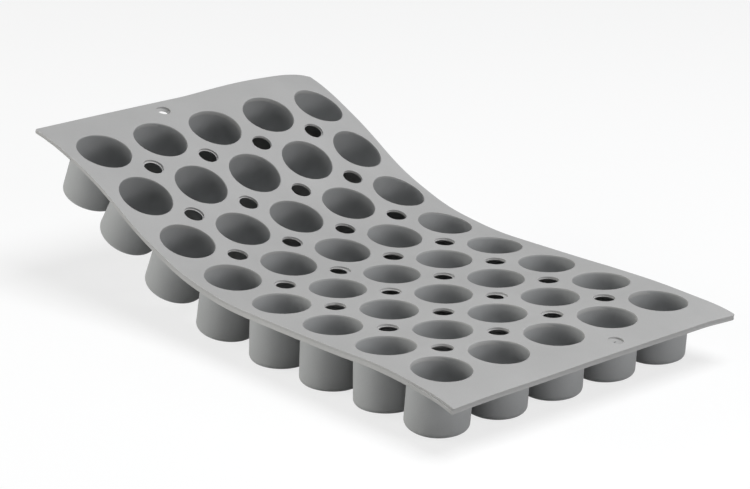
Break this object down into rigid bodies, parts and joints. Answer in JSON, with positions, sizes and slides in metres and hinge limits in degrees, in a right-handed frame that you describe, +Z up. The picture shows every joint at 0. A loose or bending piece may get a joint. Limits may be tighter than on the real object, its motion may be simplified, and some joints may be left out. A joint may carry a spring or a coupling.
{
  "type": "mini cake mould",
  "caption": "Flexible silicone baking mould: a thin sheet with rows of straight round cups under it, vent holes between the cups and a hanging hole at each end.",
  "frame": {"origin": "middle of the curled mould's box, on the surface that it lies on", "axes": "+X along the rows from the lifted end to the end that lies flat, +Y across the sheet, +Z up"},
  "size_m": [0.2896, 0.175, 0.08],
  "materials": {
    "sheet_silicone": "matte moulded",
    "cup_silicone": "matte moulded"
  },
  "bodies": {
    "row_1": {"sheet_row_1": "sheet_silicone", "cup_1_1": "cup_silicone", "cup_1_2": "cup_silicone", "cup_1_3": "cup_silicone", "cup_1_4": "cup_silicone", "cup_1_5": "cup_silicone"},
    "row_2": {"sheet_row_2": "sheet_silicone", "cup_2_1": "cup_silicone", "cup_2_2": "cup_silicone", "cup_2_3": "cup_silicone", "cup_2_4": "cup_silicone", "cup_2_5": "cup_silicone"},
    "row_3": {"sheet_row_3": "sheet_silicone", "cup_3_1": "cup_silicone", "cup_3_2": "cup_silicone", "cup_3_3": "cup_silicone", "cup_3_4": "cup_silicone", "cup_3_5": "cup_silicone"},
    "row_4": {"sheet_row_4": "sheet_silicone", "cup_4_1": "cup_silicone", "cup_4_2": "cup_silicone", "cup_4_3": "cup_silicone", "cup_4_4": "cup_silicone", "cup_4_5": "cup_silicone"},
    "row_5": {"sheet_row_5": "sheet_silicone", "cup_5_1": "cup_silicone", "cup_5_2": "cup_silicone", "cup_5_3": "cup_silicone", "cup_5_4": "cup_silicone", "cup_5_5": "cup_silicone"},
    "row_6": {"sheet_row_6": "sheet_silicone", "cup_6_1": "cup_silicone", "cup_6_2": "cup_silicone", "cup_6_3": "cup_silicone", "cup_6_4": "cup_silicone", "cup_6_5": "cup_silicone"},
    "row_7": {"sheet_row_7": "sheet_silicone", "cup_7_1": "cup_silicone", "cup_7_2": "cup_silicone", "cup_7_3": "cup_silicone", "cup_7_4": "cup_silicone", "cup_7_5": "cup_silicone"},
    "row_8": {"sheet_row_8": "sheet_silicone", "cup_8_1": "cup_silicone", "cup_8_2": "cup_silicone", "cup_8_3": "cup_silicone", "cup_8_4": "cup_silicone", "cup_8_5": "cup_silicone"}
  },
  "joints": [
    {"name": "web_1_2", "type": "hinge", "parent": "row_2", "child": "row_1", "pos_m": [-0.10214, 0, 0.06092], "axis": [0, 1, 0], "range_deg": [-6, 46], "stiffness_Nm_per_rad": 2},
    {"name": "web_2_3", "type": "hinge", "parent": "row_3", "child": "row_2", "pos_m": [-0.07224, 0, 0.04331], "axis": [0, 1, 0], "range_deg": [-23, 29], "stiffness_Nm_per_rad": 2},
    {"name": "web_3_4", "type": "hinge", "parent": "row_4", "child": "row_3", "pos_m": [-0.03953, 0, 0.03173], "axis": [0, 1, 0], "range_deg": [-24, 28], "stiffness_Nm_per_rad": 2},
    {"name": "web_4_5", "type": "hinge", "parent": "row_5", "child": "row_4", "pos_m": [-0.00513, 0, 0.0272], "axis": [0, 1, 0], "range_deg": [-19.5, 32.5], "stiffness_Nm_per_rad": 2},
    {"name": "web_5_6", "type": "hinge", "parent": "row_5", "child": "row_6", "pos_m": [0.02957, 0, 0.0272], "axis": [0, -1, 0], "range_deg": [-12, 40], "stiffness_Nm_per_rad": 2},
    {"name": "web_6_7", "type": "hinge", "parent": "row_6", "child": "row_7", "pos_m": [0.06427, 0, 0.0272], "axis": [0, -1, 0], "range_deg": [-14, 38], "stiffness_Nm_per_rad": 2},
    {"name": "web_7_8", "type": "hinge", "parent": "row_7", "child": "row_8", "pos_m": [0.09895, 0, 0.02841], "axis": [0, -1, 0], "range_deg": [-8, 44], "stiffness_Nm_per_rad": 2}
  ]
}
